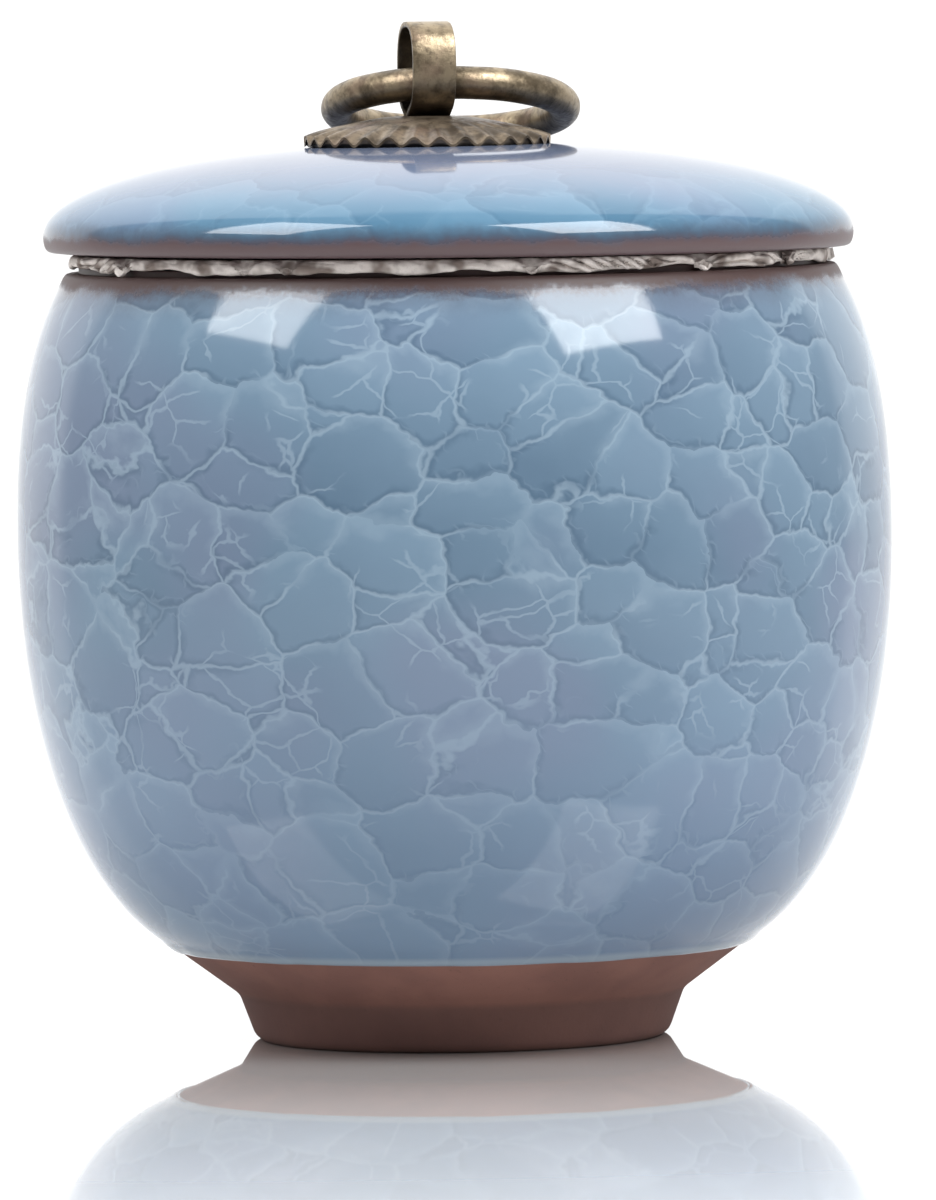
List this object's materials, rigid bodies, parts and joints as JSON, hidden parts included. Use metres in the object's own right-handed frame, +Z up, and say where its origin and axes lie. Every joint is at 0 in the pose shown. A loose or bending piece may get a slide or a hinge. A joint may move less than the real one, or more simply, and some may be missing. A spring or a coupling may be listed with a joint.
{
  "type": "funeral urn",
  "caption": "Round-bellied glazed ceramic urn on an unglazed clay foot, with a domed lid, a cloth seal under it and a loose brass ring pull.",
  "frame": {"origin": "centre of the footprint, on the plane the foot stands on", "axes": "+Z up along the jar's axis; -Y is the front, from which the ring leans away"},
  "size_m": [0.1, 0.1, 0.1163],
  "materials": {
    "body_glaze": "glossy blue ice-crackle glaze over brown clay",
    "lid_glaze": "glossy blue ice-crackle glaze with a bare brown edge",
    "cloth": "crumpled cream cloth",
    "aged_brass": "satin, darkened by age"
  },
  "bodies": {
    "urn": {"urn_body": "body_glaze", "lid": "lid_glaze", "cloth_seal": "cloth", "rosette": "aged_brass", "strap_loop": "aged_brass"},
    "ring": {"pull_ring": "aged_brass"}
  },
  "joints": [
    {"name": "ring_swing", "type": "hinge", "parent": "urn", "child": "ring", "pos_m": [-0.00238, -0.0001, 0.10919], "axis": [0.9786, -0.2013, 0.0419], "range_deg": [0, 206]}
  ]
}
